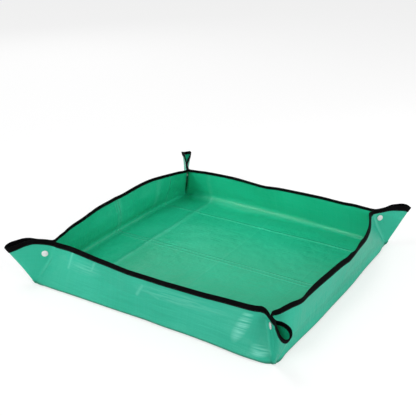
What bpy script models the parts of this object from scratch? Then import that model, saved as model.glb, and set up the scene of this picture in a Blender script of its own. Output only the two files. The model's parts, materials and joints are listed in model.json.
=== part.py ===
"""Repotting mat: a square woven sheet with a bound edge, folded into a tray.

The mat is modelled as its flat pattern, folded along its creases. Each wall turns about its floor
crease, and each wall carries half of the ear at either end on a slanted crease. The two halves of
an ear lie back to back in the corner's diagonal plane, held by a snap fastener. All the creases
are empties, so turning them back by the same share lays the mat out flat.

Metres, +Z up. The origin is under the middle of the floor panel. The front wall faces -Y.
"""
import math

import bmesh
import bpy
from mathutils import Matrix, Quaternion, Vector

# Sheet
SHEET_SIDE = 0.680
WALL_HEIGHT = 0.085
CORNER_RADIUS = 0.080
SHEET_THICKNESS = 0.0003

# Folded shape
PINCH_INSET = 0.027
FRONT_BOW = 0.012
RIGHT_BOW = 0.018
BACK_BOW = 0.010
LEFT_BOW = 0.015
MOUTH_OPENING = 0.009
VERTEX_OPENING = 0.006

# Gaps between neighbours
FIT_GAP = 0.0003
CREASE_GAP = 0.0007
BAND_CREASE_GAP = 0.0016
RIDGE_GAP = 0.0006
RIDGE_TRIM = 0.0013

# Edge binding, a tape folded over the edge of the sheet, wider on the outside
BAND_WIDTH = 0.0088
BAND_INNER_WIDTH = 0.0062
BAND_THICKNESS = 0.0005

# Snap fasteners
SNAP_FROM_CREASE = 0.0117
SNAP_BELOW_RIM = 0.0225
CAP_RADIUS = 0.0061
CAP_HEIGHT = 0.0017
CAP_RIM = 0.0005
PRONG_RADIUS = 0.0011
PRONG_HEAD_RADIUS = 0.0018
PRONG_HEAD_THICKNESS = 0.0004
PRONG_CLEARANCE = 0.0003
SNAP_RADIUS = 0.0052
SNAP_CHAMFER = 0.0005
SOCKET_HEIGHT = 0.0024
SOCKET_WEB = 0.0007
SOCKET_LIP = 0.0005
STUD_FLANGE = 0.0009
STUD_HEIGHT = 0.0018
STUD_RADIUS = 0.0026
STUD_WALL = 0.0005
STUD_NECK = 0.0001
STUD_CHAMFER = 0.0002
STUD_CHAMFER_HEIGHT = 0.0006
STUD_CLEARANCE = 0.0003
SOCKET_GROOVE = 0.0002

# Modelling steps
CUT_OVERRUN = 0.0020
MERGE_DISTANCE = 0.00001
NORMAL_STEP = 0.00007

# Shares and counts
BOW_POWER_SHARE = 2.2
MOUTH_START_SHARE = 0.30
MOUTH_TAPER_SHARE = 1.6
MOUTH_WIDEST_SHARE = 0.80
FOLD_ROUNDING_SHARE = 8
CAP_DOME_SHARES = ((0.86, 0.50), (0.60, 0.80), (0.30, 0.95))
FINITE_STEP_SHARE = 0.0005
WALL_COLUMNS = 20
WALL_ROWS = 4
EAR_COLUMNS = 12
EAR_ROWS = 5
TURN_STEPS = 16
FLOOR_CORNER_STEPS = 4

# Worked out from the sizes
FLOOR_SIDE = SHEET_SIDE - 2 * WALL_HEIGHT
LEAN = math.asin(PINCH_INSET / WALL_HEIGHT)
CREASE_TILT = math.atan2(PINCH_INSET, WALL_HEIGHT)
WALL_FOLD = math.pi / 2 + LEAN
EAR_FOLD = math.acos(math.cos(LEAN) / math.sqrt(2))
LAYER_SPACING = SHEET_THICKNESS + 3 * FIT_GAP + SOCKET_HEIGHT + STUD_FLANGE
LAYER_OFFSET = LAYER_SPACING / 2
CREASE_SETBACK = LAYER_OFFSET * math.sqrt(2)
CREASE_START = FLOOR_SIDE / 2 - CREASE_SETBACK
EAR_APEX = -CREASE_SETBACK / (1 + PINCH_INSET / WALL_HEIGHT)
RIDGE_ANGLE = math.pi / 4
CREASE_ANGLE = math.pi / 2 + CREASE_TILT
BAND_OFFSET = SHEET_THICKNESS / 2 + FIT_GAP + BAND_THICKNESS / 2
MOUTH_PEAK = MOUTH_WIDEST_SHARE ** 2 * math.sqrt(1 - MOUTH_WIDEST_SHARE)
FACE = SHEET_THICKNESS / 2 + FIT_GAP

# Each side: its name, turn about Z, bow, and the ear names at its plus and minus ends
SIDES = (
    ("front", 180, FRONT_BOW, "left", "near"),
    ("right", 270, RIGHT_BOW, "near", "right"),
    ("back", 0, BACK_BOW, "right", "far"),
    ("left", 90, LEFT_BOW, "far", "left"),
)


# Scene and materials

def clear_scene():
    for item in list(bpy.data.objects):
        bpy.data.objects.remove(item, do_unlink=True)


def make_collection(name):
    collection = bpy.data.collections.new(name)
    bpy.context.scene.collection.children.link(collection)
    return collection


def make_material(name, colour, roughness, metallic=0.0):
    material = bpy.data.materials.new(name)
    material.use_nodes = True
    shader = material.node_tree.nodes["Principled BSDF"]
    shader.inputs["Base Color"].default_value = (*colour, 1.0)
    shader.inputs["Roughness"].default_value = roughness
    shader.inputs["Metallic"].default_value = metallic
    return material


def add_empty(name, parent=None, matrix=Matrix()):
    empty = bpy.data.objects.new(name, None)
    parts.objects.link(empty)
    empty.parent = parent
    empty.matrix_local = matrix
    return empty


def add_part(name, mesh, material, parent, matrix=Matrix()):
    part = bpy.data.objects.new(name, mesh)
    parts.objects.link(part)
    part.data.materials.append(material)
    part.parent = parent
    part.matrix_local = matrix
    return part


# Surfaces of the folded sheet

def wall_point(bow, across, up):
    """A point of a wall's middle surface, in its crease frame.

    across runs from -1 to 1 between the two ear creases and up from 0 at the floor crease to 1 at
    the rim. The middle of the wall leans in less than its ends, by the bow at the rim.
    """
    half = CREASE_START - up * PINCH_INSET
    bulge = bow * (1 - min(abs(across), 1) ** BOW_POWER_SHARE)
    swing = LEAN - math.asin(math.sin(LEAN) - bulge / WALL_HEIGHT)
    height = up * WALL_HEIGHT
    return Vector((across * half, height * math.cos(swing), -height * math.sin(swing)))


def ear_angle(turn):
    """The polar angle at turn, from 0 at the crease to 1 at the ridge, crowded near the ridge."""
    share = 1 - (1 - turn) ** 2
    return CREASE_ANGLE + share * (RIDGE_ANGLE - CREASE_ANGLE)


def ear_reach(angle):
    """Distance from the ear's apex to the edge of the sheet, and how squarely the ray meets it."""
    straight = (WALL_HEIGHT - EAR_APEX) / math.sin(angle)
    centre = WALL_HEIGHT - CORNER_RADIUS
    if EAR_APEX + straight * math.cos(angle) <= centre:
        return straight, math.sin(angle)
    depth = math.sqrt(2) * (centre - EAR_APEX)
    turn = angle - RIDGE_ANGLE
    squareness = math.sqrt(1 - (depth * math.sin(turn) / CORNER_RADIUS) ** 2)
    return depth * math.cos(turn) + CORNER_RADIUS * squareness, squareness


def ear_point(turn, inset):
    """A point of an ear half's middle surface, in its wall's crease frame, for the plus end.

    inset is the distance in from the edge of the sheet. The half lies flat in its plane round the
    snap, bellies out towards the edge to open the ear's mouth, and rounds over into the ridge.
    """
    share = 1 - (1 - turn) ** 2
    angle = ear_angle(turn)
    reach, squareness = ear_reach(angle)
    distance = reach - inset / squareness
    opened = max(share - MOUTH_START_SHARE, 0) / (1 - MOUTH_START_SHARE)
    belly = opened ** 2 * math.sqrt(1 - opened) / MOUTH_PEAK
    rounding = math.sqrt(1 - share ** FOLD_ROUNDING_SHARE)
    out = RIDGE_GAP / 2 + (LAYER_OFFSET - RIDGE_GAP / 2) * rounding
    out += MOUTH_OPENING * (distance / reach) ** MOUTH_TAPER_SHARE * belly
    corner = FLOOR_SIDE / 2 + EAR_APEX
    return Vector((
        corner + distance * math.cos(angle),
        EAR_APEX + distance * math.sin(angle),
        LAYER_OFFSET - out,
    ))


def surface_normal(point_at, first, second, second_step):
    """Unit normal of a surface towards the inside of the tray, by small differences."""
    ahead = min(first + FINITE_STEP_SHARE, 1)
    behind = ahead - 2 * FINITE_STEP_SHARE
    along = point_at(ahead, second) - point_at(behind, second)
    across = point_at(first, second + second_step) - point_at(first, second - second_step)
    return along.cross(across).normalized()


# Meshes

def grid_mesh(name, columns, rows, place):
    """A grid whose vertices are moved to place(s, t), with s and t from 0 to 1."""
    mesh = bpy.data.meshes.new(name)
    grid = bmesh.new()
    bmesh.ops.create_grid(grid, x_segments=columns, y_segments=rows, size=0.5)
    for vertex in grid.verts:
        vertex.co = place(vertex.co.x + 0.5, vertex.co.y + 0.5)
    grid.to_mesh(mesh)
    grid.free()
    mesh.shade_smooth()
    return mesh


def add_solidify(part, thickness):
    shell = part.modifiers.new("Thickness", "SOLIDIFY")
    shell.thickness = thickness
    shell.offset = 0
    shell.use_even_offset = False


def sheet_inset(t, rows, depth):
    """Inset from the edge at a grid's height t, whose top row is as wide as the binding."""
    row = t * rows
    if row >= rows - 1:
        return (rows - row) * BAND_WIDTH
    return depth + row / (rows - 1) * (BAND_WIDTH - depth)


def band_profile():
    """The folded tape's middle line, as (inset from the edge, offset along the normal)."""
    turn_back = BAND_OFFSET * math.sqrt(0.5)
    outside = [(BAND_WIDTH, -BAND_OFFSET), (0, -BAND_OFFSET)]
    inside = [(0, BAND_OFFSET), (BAND_INNER_WIDTH, BAND_OFFSET)]
    return outside + [(-turn_back, -turn_back), (-BAND_OFFSET, 0), (-turn_back, turn_back)] + inside


def turned_mesh(name, profile, closed):
    """A section in the XZ plane, ready for a Screw modifier about Z."""
    mesh = bpy.data.meshes.new(name)
    edges = [(i, i + 1) for i in range(len(profile) - 1)]
    if closed:
        edges.append((len(profile) - 1, 0))
    mesh.from_pydata([(radius, 0, height) for radius, height in profile], edges, [])
    return mesh


def add_turning(part):
    turning = part.modifiers.new("Turning", "SCREW")
    turning.steps = TURN_STEPS
    turning.render_steps = TURN_STEPS
    turning.use_merge_vertices = True
    turning.merge_threshold = MERGE_DISTANCE
    turning.use_smooth_shade = True


# Sheet and binding

def add_floor():
    """The floor panel: a flat outline with small round corners, extruded to the sheet's thickness."""
    half = (FLOOR_SIDE - CREASE_GAP) / 2
    centre = half - CREASE_SETBACK
    outline = bpy.data.curves.new("floor_outline", "CURVE")
    outline.dimensions = "2D"
    outline.fill_mode = "BOTH"
    outline.extrude = SHEET_THICKNESS / 2
    points = []
    for corner in range(4):
        for step in range(FLOOR_CORNER_STEPS + 1):
            angle = math.pi / 2 * (corner + step / FLOOR_CORNER_STEPS)
            middle = Matrix.Rotation(math.pi / 2 * corner, 2) @ Vector((centre, centre))
            points.append(middle + CREASE_SETBACK * Vector((math.cos(angle), math.sin(angle))))
    spline = outline.splines.new("POLY")
    spline.points.add(len(points) - 1)
    for point, place in zip(spline.points, points):
        point.co = (place.x, place.y, 0, 1)
    spline.use_cyclic_u = True
    raised = Matrix.Translation((0, 0, SHEET_THICKNESS / 2))
    return add_part("floor_panel", outline, green, None, raised)


def add_wall(name, bow, hinge):
    """A wall panel and its stretch of binding, both in the frame of the floor crease."""
    depth = WALL_HEIGHT - CREASE_GAP / 2
    trim = CREASE_GAP / 2 / math.cos(CREASE_TILT) / CREASE_START
    band_trim = BAND_CREASE_GAP / 2 / math.cos(CREASE_TILT) / CREASE_START

    def sheet_place(s, t):
        up = 1 - sheet_inset(t, WALL_ROWS, depth) / WALL_HEIGHT
        return wall_point(bow, (2 * s - 1) * (1 - trim), up)

    def at(across, up):
        return wall_point(bow, across, up)

    profile = band_profile()

    def band_place(s, t):
        inset, offset = profile[round(t * (len(profile) - 1))]
        across = (2 * s - 1) * (1 - band_trim)
        up = 1 - inset / WALL_HEIGHT
        return at(across, up) + offset * surface_normal(at, across, up, FINITE_STEP_SHARE)

    sheet = grid_mesh(name + "_wall", WALL_COLUMNS, WALL_ROWS, sheet_place)
    add_solidify(add_part(name + "_wall", sheet, green, hinge), SHEET_THICKNESS)
    band = grid_mesh(name + "_wall_binding", WALL_COLUMNS, len(profile) - 1, band_place)
    add_solidify(add_part(name + "_wall_binding", band, black, hinge), BAND_THICKNESS)


def add_ear(name, side, end, hinge):
    """Half of an ear with its binding, for the plus or the minus end of a wall.

    Its ridge stops short of the corner's diagonal, so the two halves pass as they unfold.
    """
    origin = Vector((CREASE_START, 0, 0))
    off_crease = Vector((math.cos(CREASE_TILT), math.sin(CREASE_TILT), 0))
    off_ridge = Vector((-math.sin(RIDGE_ANGLE), math.cos(RIDGE_ANGLE), 0))
    mirror = Matrix.Diagonal((end, 1, 1))

    def settled(point, turn, gap):
        to_crease = (1 - turn) ** 2
        point = point - origin + to_crease * gap / 2 * off_crease
        return mirror @ (point + (1 - to_crease) * RIDGE_TRIM * off_ridge)

    def sheet_place(s, t):
        reach, squareness = ear_reach(ear_angle(s))
        inset = sheet_inset(t, EAR_ROWS, (reach - VERTEX_OPENING) * squareness)
        return settled(ear_point(s, inset), s, CREASE_GAP)

    profile = band_profile()

    def band_place(s, t):
        inset, offset = profile[round(t * (len(profile) - 1))]
        normal = surface_normal(ear_point, s, inset, NORMAL_STEP)
        return settled(ear_point(s, inset) + offset * normal, s, BAND_CREASE_GAP)

    ear = name + "_ear_" + side
    sheet = add_part(ear, grid_mesh(ear, EAR_COLUMNS, EAR_ROWS, sheet_place), green, hinge)
    add_solidify(sheet, SHEET_THICKNESS)
    band = grid_mesh(ear + "_binding", EAR_COLUMNS, len(profile) - 1, band_place)
    add_solidify(add_part(ear + "_binding", band, black, hinge), BAND_THICKNESS)
    return sheet


# Snap fasteners

def snap_place(end):
    """Where a snap's axis crosses its layer, in the ear's frame."""
    along = WALL_HEIGHT - SNAP_BELOW_RIM
    across = SNAP_FROM_CREASE / math.cos(CREASE_TILT) - along * math.tan(CREASE_TILT)
    return Vector((end * across, along, 0))


def cap_profile(base):
    """Domed cap outside the sheet, and its prong pressed flat beyond a base of that thickness."""
    head = FACE + FIT_GAP + base
    profile = [
        (0, head + PRONG_HEAD_THICKNESS),
        (PRONG_HEAD_RADIUS, head + PRONG_HEAD_THICKNESS),
        (PRONG_HEAD_RADIUS, head),
        (PRONG_RADIUS, head),
        (PRONG_RADIUS, -FACE),
        (CAP_RADIUS, -FACE),
        (CAP_RADIUS, -FACE - CAP_RIM),
    ]
    dome = CAP_HEIGHT - CAP_RIM
    for reach, rise in CAP_DOME_SHARES:
        profile.append((reach * CAP_RADIUS, -FACE - CAP_RIM - rise * dome))
    profile.append((0, -FACE - CAP_HEIGHT))
    return profile


def socket_profile():
    top = FACE + SOCKET_HEIGHT
    hole = PRONG_RADIUS + PRONG_CLEARANCE
    neck = STUD_RADIUS + STUD_CLEARANCE
    cavity = neck + SOCKET_GROOVE
    return [
        (neck, top),
        (SNAP_RADIUS - SNAP_CHAMFER, top),
        (SNAP_RADIUS, top - SNAP_CHAMFER),
        (SNAP_RADIUS, FACE),
        (hole, FACE),
        (hole, FACE + SOCKET_WEB),
        (cavity, FACE + SOCKET_WEB),
        (cavity, top - SOCKET_LIP),
        (neck, top - SOCKET_LIP / 2),
    ]


def stud_profile():
    top = FACE + STUD_FLANGE
    tip = top + STUD_HEIGHT
    hole = PRONG_RADIUS + PRONG_CLEARANCE
    hollow = STUD_RADIUS - STUD_WALL
    return [
        (hollow, tip),
        (STUD_RADIUS - STUD_CHAMFER, tip),
        (STUD_RADIUS, tip - STUD_CHAMFER_HEIGHT),
        (STUD_RADIUS - STUD_NECK, top),
        (SNAP_RADIUS, top),
        (SNAP_RADIUS, FACE),
        (hole, FACE),
        (hole, top),
        (hollow, top),
    ]


def add_snap_half(name, half, end, hinge, sheet):
    """A cap and its socket or stud, and the hole in the sheet between them."""
    place = Matrix.Translation(snap_place(end))
    if half == "socket":
        profile, base = socket_profile(), SOCKET_WEB
    else:
        profile, base = stud_profile(), STUD_FLANGE
    inner = f"{name}_snap_{half}"
    outer = inner + "_cap"
    add_turning(add_part(inner, turned_mesh(inner, profile, True), white, hinge, place))
    add_turning(add_part(outer, turned_mesh(outer, cap_profile(base), False), white, hinge, place))
    mesh = bpy.data.meshes.new(inner + "_hole")
    drill = bmesh.new()
    bmesh.ops.create_cone(
        drill, cap_ends=True, segments=TURN_STEPS, depth=2 * CUT_OVERRUN,
        radius1=PRONG_RADIUS + PRONG_CLEARANCE, radius2=PRONG_RADIUS + PRONG_CLEARANCE,
    )
    drill.to_mesh(mesh)
    drill.free()
    cutter = bpy.data.objects.new(inner + "_hole", mesh)
    cutters.objects.link(cutter)
    cutter.parent = hinge
    cutter.matrix_local = place
    cutter.hide_render = True
    cutter.display_type = "WIRE"
    hole = sheet.modifiers.new("Prong hole", "BOOLEAN")
    hole.operation = "DIFFERENCE"
    hole.solver = "EXACT"
    hole.object = cutter


# Assembly

def add_side(name, turn, bow, plus_corner, minus_corner):
    """A wall on its floor crease, with the half ears and snap halves at its two ends."""
    away = Matrix.Rotation(math.radians(turn), 4, "Z")
    crease = Matrix.Translation((0, FLOOR_SIDE / 2, SHEET_THICKNESS / 2))
    wall_hinge = add_empty(name + "_wall_hinge", None, away @ crease @ Matrix.Rotation(WALL_FOLD, 4, "X"))
    add_wall(name, bow, wall_hinge)
    for end, corner, half in ((1, plus_corner, "stud"), (-1, minus_corner, "socket")):
        axis = Vector((-end * math.sin(CREASE_TILT), math.cos(CREASE_TILT), 0))
        fold = Quaternion(axis, end * EAR_FOLD).to_matrix().to_4x4()
        start = Matrix.Translation((end * CREASE_START, 0, 0))
        ear_hinge = add_empty(f"{corner}_ear_{name}_hinge", wall_hinge, start @ fold)
        sheet = add_ear(corner, name, end, ear_hinge)
        add_snap_half(corner, half, end, ear_hinge, sheet)


clear_scene()
parts = make_collection("repotting_mat")
cutters = make_collection("cutters")
green = make_material("woven_sheet", (0.045, 0.430, 0.245), 0.45)
black = make_material("edge_binding", (0.012, 0.012, 0.013), 0.70)
white = make_material("snap_plastic", (0.800, 0.810, 0.800), 0.30)
add_floor()
for side in SIDES:
    add_side(*side)
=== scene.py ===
"""Repotting mat: the finished look of a woven sheet folded into a tray, with binding and snaps.

Every surface is described by where it lies in the sheet's flat pattern. The sheet is thirteen
panels joined by soft bends: a floor, four walls and eight ear halves, with a bend along each
crease and a small vertex at each corner of the floor. A binding runs round the edge, sewn on with
a row of stitches on each face. The walls lean and wave as they do in the photograph.

Metres, +Z up. The front wall faces -Y. A side's own frame has X along its floor crease, Y up the
wall and Z towards the inside of the tray.
"""

import json
import math

import bpy
from mathutils import Matrix, Quaternion, Vector, noise

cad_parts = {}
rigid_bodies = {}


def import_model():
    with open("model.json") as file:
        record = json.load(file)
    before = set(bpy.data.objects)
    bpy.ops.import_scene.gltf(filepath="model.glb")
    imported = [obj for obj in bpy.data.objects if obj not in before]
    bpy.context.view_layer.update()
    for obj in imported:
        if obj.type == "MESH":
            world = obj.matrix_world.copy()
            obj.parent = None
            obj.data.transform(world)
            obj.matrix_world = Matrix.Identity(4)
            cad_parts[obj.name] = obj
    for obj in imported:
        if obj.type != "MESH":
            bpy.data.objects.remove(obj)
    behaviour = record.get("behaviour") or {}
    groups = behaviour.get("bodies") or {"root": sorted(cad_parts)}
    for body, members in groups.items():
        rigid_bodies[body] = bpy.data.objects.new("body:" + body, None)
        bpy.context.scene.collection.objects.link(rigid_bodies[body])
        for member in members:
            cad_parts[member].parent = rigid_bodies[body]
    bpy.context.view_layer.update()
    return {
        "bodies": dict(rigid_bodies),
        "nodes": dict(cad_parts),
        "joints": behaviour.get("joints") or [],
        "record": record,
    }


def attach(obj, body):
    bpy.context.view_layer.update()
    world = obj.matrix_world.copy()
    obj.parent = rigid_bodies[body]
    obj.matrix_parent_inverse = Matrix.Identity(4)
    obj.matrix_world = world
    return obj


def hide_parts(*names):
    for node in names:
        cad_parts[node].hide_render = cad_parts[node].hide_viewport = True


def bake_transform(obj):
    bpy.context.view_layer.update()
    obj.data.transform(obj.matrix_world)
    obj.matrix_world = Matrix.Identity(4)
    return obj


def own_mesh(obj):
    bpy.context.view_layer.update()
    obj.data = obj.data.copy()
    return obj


# Sheet, as in the part's source
SHEET_SIDE = 0.68
WALL_HEIGHT = 0.085
CORNER_RADIUS = 0.08
SHEET_THICKNESS = 0.0003
PINCH_INSET = 0.027
FIT_GAP = 0.0003
RIDGE_TRIM = 0.0013
RIDGE_TRIM_START = 0.02

# Soft bends along the creases. Half the width of a floor bend is in millimetres, against
# millimetres from the edge's middle
FLOOR_BENDS = {
    "front": ((-255, 6.5), (255, 6.5)),
    "right": ((-255, 7), (255, 7)),
    "back": ((-255, 20), (-150, 28), (-95, 30), (0, 22), (51, 18), (140, 13), (255, 10)),
    "left": ((-255, 12.5), (100, 12.5), (190, 8.5), (255, 8.5)),
}
EAR_BEND = 0.0055
BEND_END = 0.0004
EAR_BEND_START = 0.035
FLOOR_BEND_TAPER_SHARE = 0.12
LEAN_RAMP = 0.018
RIDGE_GAP = 0.0003

# The floor bends listed here are baked in place and ride on no body; the other floor bends ride on
# their walls
BENDS_THAT_ROLL = ("back",)

# The fold's vertex at each corner of the floor
VERTEX_HALF_WIDTH = 0.0026
VERTEX_SPREAD = 0.0054
VERTEX_INWARD = 0.008
VERTEX_RISE_SHARE = 0.08

# Edge binding and its stitches. A leg's points have their share of the way from fold to seam, and
# their share of the full puff
BAND_WIDTH = 0.0088
BAND_INNER_WIDTH = 0.0062
BAND_EAR_WIDTHS = {"left": 0.0098, "near": 0.0062, "right": 0.0064, "far": 0.0062}
BAND_GROWTH_SHARE = 0.45
BAND_STEPS_PER_STITCH = 6
BEND_STEPS_PER_STITCH = 8
BAND_THICKNESS = 0.0005
BAND_PUFF = 0.00022
BAND_PUCKER = 0.00007
BAND_TURN = ((0.75, 0.66), (1, 0), (0.75, -0.66))
BAND_FACES_APART = 0.05
LEG_PUFFS = ((1, -0.5), (0.78, 0.6), (0.52, 1), (0.24, 1), (0, 0.95))
HEM_PUFF = 0.1
STITCH_PITCH = 0.0042
STITCH_LENGTH = 0.0031
STITCH_FROM_EDGE = 0.0015
STITCH_RADIUS = 0.00022
STITCH_LIFTS = (-0.6, 0.75, 0.9, 0.75, -0.6)
STITCH_SIDES = 5

# Snap fasteners, as in the part's source. The dome's points have a share of the cap's
# radius, and a height
SNAP_FROM_CREASE = 0.0117
SNAP_BELOW_RIM = 0.0225
CAP_RADIUS = 0.0061
PRONG_RADIUS = 0.0011
PRONG_HEAD_RADIUS = 0.0018
PRONG_HEAD_THICKNESS = 0.0004
PRONG_FLAT_SHARE = 0.8
SOCKET_HEIGHT = 0.0024
STUD_FLANGE = 0.0009
SNAP_BASES = {"socket": 0.0007, "stud": STUD_FLANGE}
CAP_DOME = (
    (0.97, 0), (1, 0.0002), (1, 0.0005), (0.975, 0.00075), (0.92, 0.00095),
    (0.8, 0.00122), (0.62, 0.00148), (0.42, 0.00163), (0.24, 0.0017), (0.17, 0.00168),
    (0.13, 0.00156), (0.06, 0.0015), (0, 0.0015),
)

# How the tray sags: how far each rim swings out of the plane through its two pinched ends, in
# degrees, against the place along the rim from its minus end to its plus end
RIM_SWINGS = {
    "front": (
        (-1, 0), (-0.96, 4.6), (-0.91, 7), (-0.83, 8.2), (-0.72, 9.4), (-0.63, 10.8),
        (-0.54, 12.3), (-0.43, 13), (-0.3, 13.7), (-0.17, 14.5), (-0.04, 14.3), (0.1, 14.2),
        (0.17, 14.1), (0.24, 13), (0.32, 11.5), (0.4, 9.9), (0.49, 8.3), (0.57, 6.4),
        (0.66, 3.9), (0.76, 0.6), (0.86, -2.6), (0.94, -1.6), (1, 0),
    ),
    "right": (
        (-1, 0), (-0.93, 3.2), (-0.84, 8.4), (-0.73, 15.4), (-0.62, 21.4), (-0.52, 25.2),
        (-0.42, 27.8), (-0.32, 28.6), (-0.21, 29.4), (-0.11, 30.6), (-0.01, 31.4), (0.06, 30),
        (0.12, 29), (0.22, 28), (0.33, 27), (0.42, 26), (0.52, 25), (0.62, 24.2),
        (0.71, 23.6), (0.79, 23.4), (0.86, 20.6), (0.92, 15.4), (0.97, 7), (1, 0),
    ),
    "back": (
        (-1, 0), (-0.8, 3), (-0.5, 4.2), (-0.26, 1.2), (-0.11, -0.4), (-0.03, 0.8),
        (0.04, 2.3), (0.15, 2.9), (0.28, 3.3), (0.41, 3.6), (0.54, 3.4), (0.64, 2.5),
        (0.75, 1.9), (0.85, 2.8), (0.93, 2.1), (1, 0),
    ),
    "left": (
        (-1, 0), (-0.96, 1.6), (-0.92, 4.4), (-0.82, 9.2), (-0.7, 13), (-0.6, 14.6),
        (-0.52, 16.4), (-0.41, 19.6), (-0.3, 22.8), (-0.2, 24.4), (-0.1, 24.8), (0, 25.6),
        (0.07, 24), (0.17, 24.2), (0.29, 25.8), (0.39, 26.2), (0.49, 25.2), (0.57, 22.4),
        (0.63, 18.6), (0.7, 14.4), (0.8, 9), (0.9, 4.4), (1, 0),
    ),
}

# How far the floor's edges bow outwards, against the place along the edge: millimetres and
# millimetres from the edge's middle, from its minus end to its plus end
EDGE_BOWS = {
    "front": (
        (-255, 1), (-245, 7), (-230, 12.5), (-210, 14), (-190, 13.7), (-160, 11.5),
        (-130, 9.8), (-90, 8.6), (-40, 8.9), (0, 7.6), (50, 8.5), (110, 9), (170, 9.4),
        (210, 10.5), (232, 9.6), (248, 6.5), (255, 4),
    ),
    "right": (
        (-255, 4), (-232, 8), (-205, 11.6), (-180, 12), (-150, 12), (-120, 12.2),
        (-90, 13), (-50, 14.3), (-10, 14.3), (50, 13.2), (100, 12.8), (130, 11.8), (170, 9.6),
        (210, 8), (235, 7), (248, 4), (255, 0),
    ),
    "back": (
        (-255, 3), (-200, 4), (-95, 4), (0, 4), (51, 3.5), (120, -1), (205, -8),
        (240, -7), (255, -3),
    ),
    "left": (
        (-255, 5), (-225, 9), (-150, 13), (-20, 15.5), (100, 15.5), (195, 9), (255, 3),
    ),
}
EDGE_BOW_HEIGHT = 0.052
EDGE_BOW_REACH = 0.07

# How far the rim's top strip is rolled in, in degrees, against the place along the rim
NO_CURL = ((-1, 0), (1, 0))
RIM_CURLS = {
    "front": NO_CURL,
    "right": (
        (-1, 0), (-0.84, 0), (-0.66, 18), (-0.5, 34), (-0.3, 34), (-0.2, 14), (-0.14, 14),
        (-0.08, 48), (0.06, 60), (0.4, 58), (0.56, 45), (0.7, 20), (0.82, 0), (1, 0),
    ),
    "back": NO_CURL,
    "left": NO_CURL,
}
CURL_REACH = 0.012

# How far each pinch hangs outwards, sideways and down above its snap, and how far along the walls
# and along the ear the pinch takes its surroundings with it
PINCH_SHIFTS = {
    "left": (0.006, 0, -0.0035),
    "near": (0.015, 0.001, 0.003),
    "right": (0.011, 0, 0.001),
    "far": (0, 0, 0),
}
PINCH_REACHES = {
    "left": {"front": 0.05, "left": 0.045},
    "near": {"front": 0.014, "right": 0.045},
    "right": {"right": 0.026, "back": 0.026},
    "far": {"back": 0.03, "left": 0.03},
}
EAR_REACH = 0.055
EAR_REACH_BLEND = 0.008

# How the two layers of an ear close up at the rim, above the snap
PINCH_CLOSE_SHARE = 0.55
PINCH_CLOSE_HEIGHTS = (0.068, 0.077)
PINCH_CLOSE_WIDTH = 0.006
PINCH_CLOSE_INWARD = 0.012
PINCH_CLOSE_OUTWARD = 0.034
PINCH_CLOSE_STEEPNESS = 1.3

# The heights between which the rim starts to hang over beside a pinch
FLARE_HEIGHTS = (0.062, 0.08)

# Bulges and swellings of the walls, and ripples of walls and floor. A swelling has its place and
# height, its width and height as shares of the wall, and its rise. Each fades out near the bends
LOW_BULGES = {"front": 0.0025, "right": 0.007, "back": 0.001, "left": 0.0016}
SWELLINGS = {
    "front": (
        (-0.74, 0.4, 0.16, 0.42, 0.004), (-0.93, 0.2, 0.06, 0.24, 0.0022),
        (0.1, 0.62, 0.3, 0.24, 0.0012),
    ),
    "right": (),
    "back": ((-0.2, 0.55, 0.25, 0.4, 0.0015),),
    "left": ((0.1, 0.5, 0.1, 0.5, 0.002), (0.55, 0.45, 0.14, 0.4, -0.002)),
}
WALL_RIPPLE = 0.0013
FLOOR_RIPPLE = 0.0012
FLOOR_REST = 0.7
FLOOR_SEED = 3
RIPPLE_SCALE = 14
RIPPLE_UP_SHARE = 0.6
FINE_RIPPLE_SCALE = 2.7
FINE_RIPPLE_SHARE = 0.35
FINE_SEED_STEP = 7
BULGE_POWER = 0.8
SWELLING_SHARPNESS = 1.5
SWELLING_TOP = 0.8
TOP_FADE_SHARE = 0.2
RIM_CALM_START = 0.75
RIM_CALM_SHARE = 0.8
FOOT_FADE = 0.025
END_FADE_SHARE = 0.1
FLOOR_EDGE_SHARE = 0.14

# How far an ear is lifted, in millimetres, against millimetres outwards from its pinch
EAR_LIFTS = {
    "left": (
        (0, 0), (15, 2), (30, 3.6), (41, 5), (55, 5.2), (68, 5), (76, 6.6), (84, 9),
        (91, 11.5),
    ),
    "near": ((0, 0), (15, -2), (35, -4.5), (50, -2), (65, 4), (78, 9.6), (91, 12)),
    "right": ((0, 0), (15, -1.5), (37, -2.6), (60, -0.5), (75, 4.5), (91, 9.5)),
    "far": ((0, 0), (12, 0), (30, 2.6), (40, 5), (55, 8), (68, 9), (100, 9)),
}

# Each corner's ear: how wide its mouth opens, how much further its tip reaches and how far it sways,
# and where these start
MOUTHS = {"left": 0.0085, "near": 0.0082, "right": 0.005, "far": 0.008}
TIP_STRETCH_SHARES = {"left": -0.01, "near": -0.04, "right": -0.04, "far": 0.13}
TIP_SWAYS = {"left": 0, "near": -0.0014, "right": 0, "far": 0.011}
TIP_SPAN = (0.012, 0.068)
MOUTH_START_SHARES = {"left": 0.2, "near": 0.27, "right": 0.2, "far": 0.2}
MOUTH_TAPER_POWER = 2.4
MOUTH_WIDEST_SHARE = 0.75
FOLD_ROUNDING_POWER = 8

# Lines where the sheet was folded for storage: the flat pattern's axis they cross, their place,
# width and strength
STORAGE_FOLDS = (
    ("y", 0.178, 0.0026, 0.5),
    ("y", 0.0045, 0.0022, 0.6),
    ("y", -0.005, 0.0026, 0.4),
    ("y", -0.1765, 0.003, 0.15),
    ("x", -0.1765, 0.008, 0.5),
    ("x", 0, 0.0034, 0.12),
    ("x", 0.1765, 0.003, 0.08),
)
STORAGE_RISE = 0.0022

# Painted shade: a dark line outside along the floor's creases, for the shade where the sheet meets the
# ground
CREASE_SHADE_OFFSET = 0.0015
CREASE_SHADE_WIDTH = 0.005
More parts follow.
